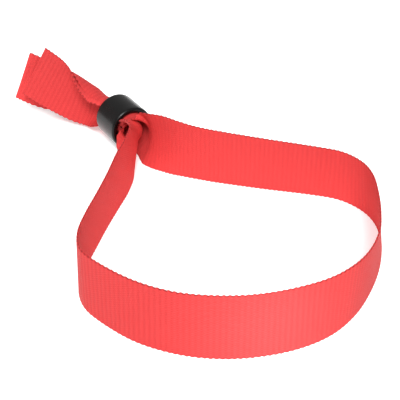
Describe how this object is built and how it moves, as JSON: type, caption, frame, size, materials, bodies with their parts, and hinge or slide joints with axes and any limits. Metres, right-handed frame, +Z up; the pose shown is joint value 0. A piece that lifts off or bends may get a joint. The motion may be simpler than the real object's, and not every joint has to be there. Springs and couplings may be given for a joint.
{
  "type": "fabric event wristband",
  "caption": "Woven ribbon wristband whose ends pass through a one-way plastic bead that slides along them to close the loop on a wrist.",
  "frame": {"origin": "bottom centre of the box round the band as it stands on its lower selvedge", "axes": "+Z up across the ribbon's width, the loop stands towards -Y and the bead and the two tails towards -X +Y"},
  "size_m": [0.089, 0.0914, 0.0212],
  "materials": {
    "red_ribbon": "satin woven with fine cross ribs",
    "black_plastic": "polished moulding"
  },
  "bodies": {
    "ribbon": {"woven_ribbon": "red_ribbon"},
    "bead": {"bead_lock": "black_plastic"}
  },
  "joints": [
    {"name": "bead_slide", "type": "slide", "parent": "ribbon", "child": "bead", "axis": [0.5446, -0.8387, 0], "range_m": [-0.008, 0.01], "deforming": ["woven_ribbon"]}
  ]
}
